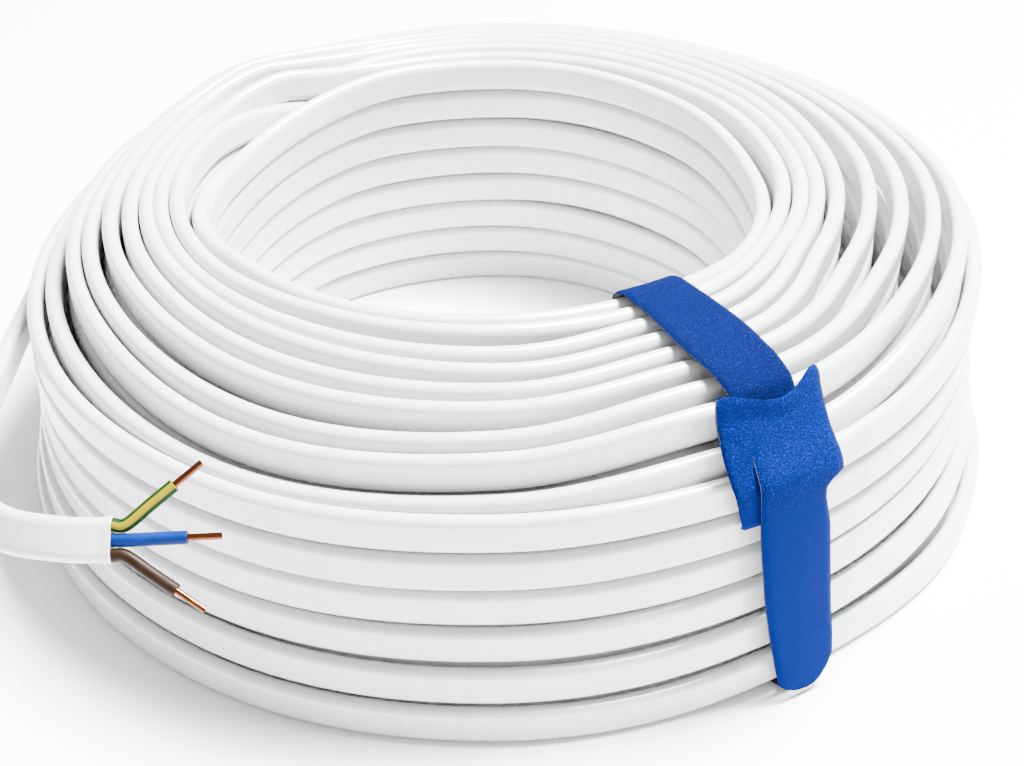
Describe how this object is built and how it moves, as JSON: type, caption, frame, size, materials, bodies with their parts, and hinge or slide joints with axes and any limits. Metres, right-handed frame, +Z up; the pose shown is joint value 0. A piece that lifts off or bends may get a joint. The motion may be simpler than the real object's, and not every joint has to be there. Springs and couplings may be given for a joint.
{
  "type": "coil of electrical wire",
  "caption": "Flat-lying coil of white flat three-core electrical cable, tied with a hook-and-loop strap, with its outer end stripped to bare copper.",
  "frame": {"origin": "on the floor, at the middle of the coil's outer wall", "axes": "+Z up along the coil's axis, -Y towards the viewer of the picture, +X to their right"},
  "size_m": [0.3278, 0.3354, 0.1019],
  "materials": {
    "white_jacket": "smooth white PVC with a soft gloss",
    "green_yellow": "yellow PVC insulation with green stripes",
    "blue": "blue PVC insulation",
    "brown": "brown PVC insulation",
    "copper": "bare drawn copper",
    "strap_blue": "blue brushed loop fabric, black hooks beneath"
  },
  "bodies": {
    "root": {"cable_coil": "white_jacket", "cable_tail": "white_jacket", "core_green_yellow": "green_yellow", "core_blue": "blue", "core_brown": "brown", "conductor_green_yellow": "copper", "conductor_blue": "copper", "conductor_brown": "copper", "hook_and_loop_strap": "strap_blue"}
  },
  "joints": []
}
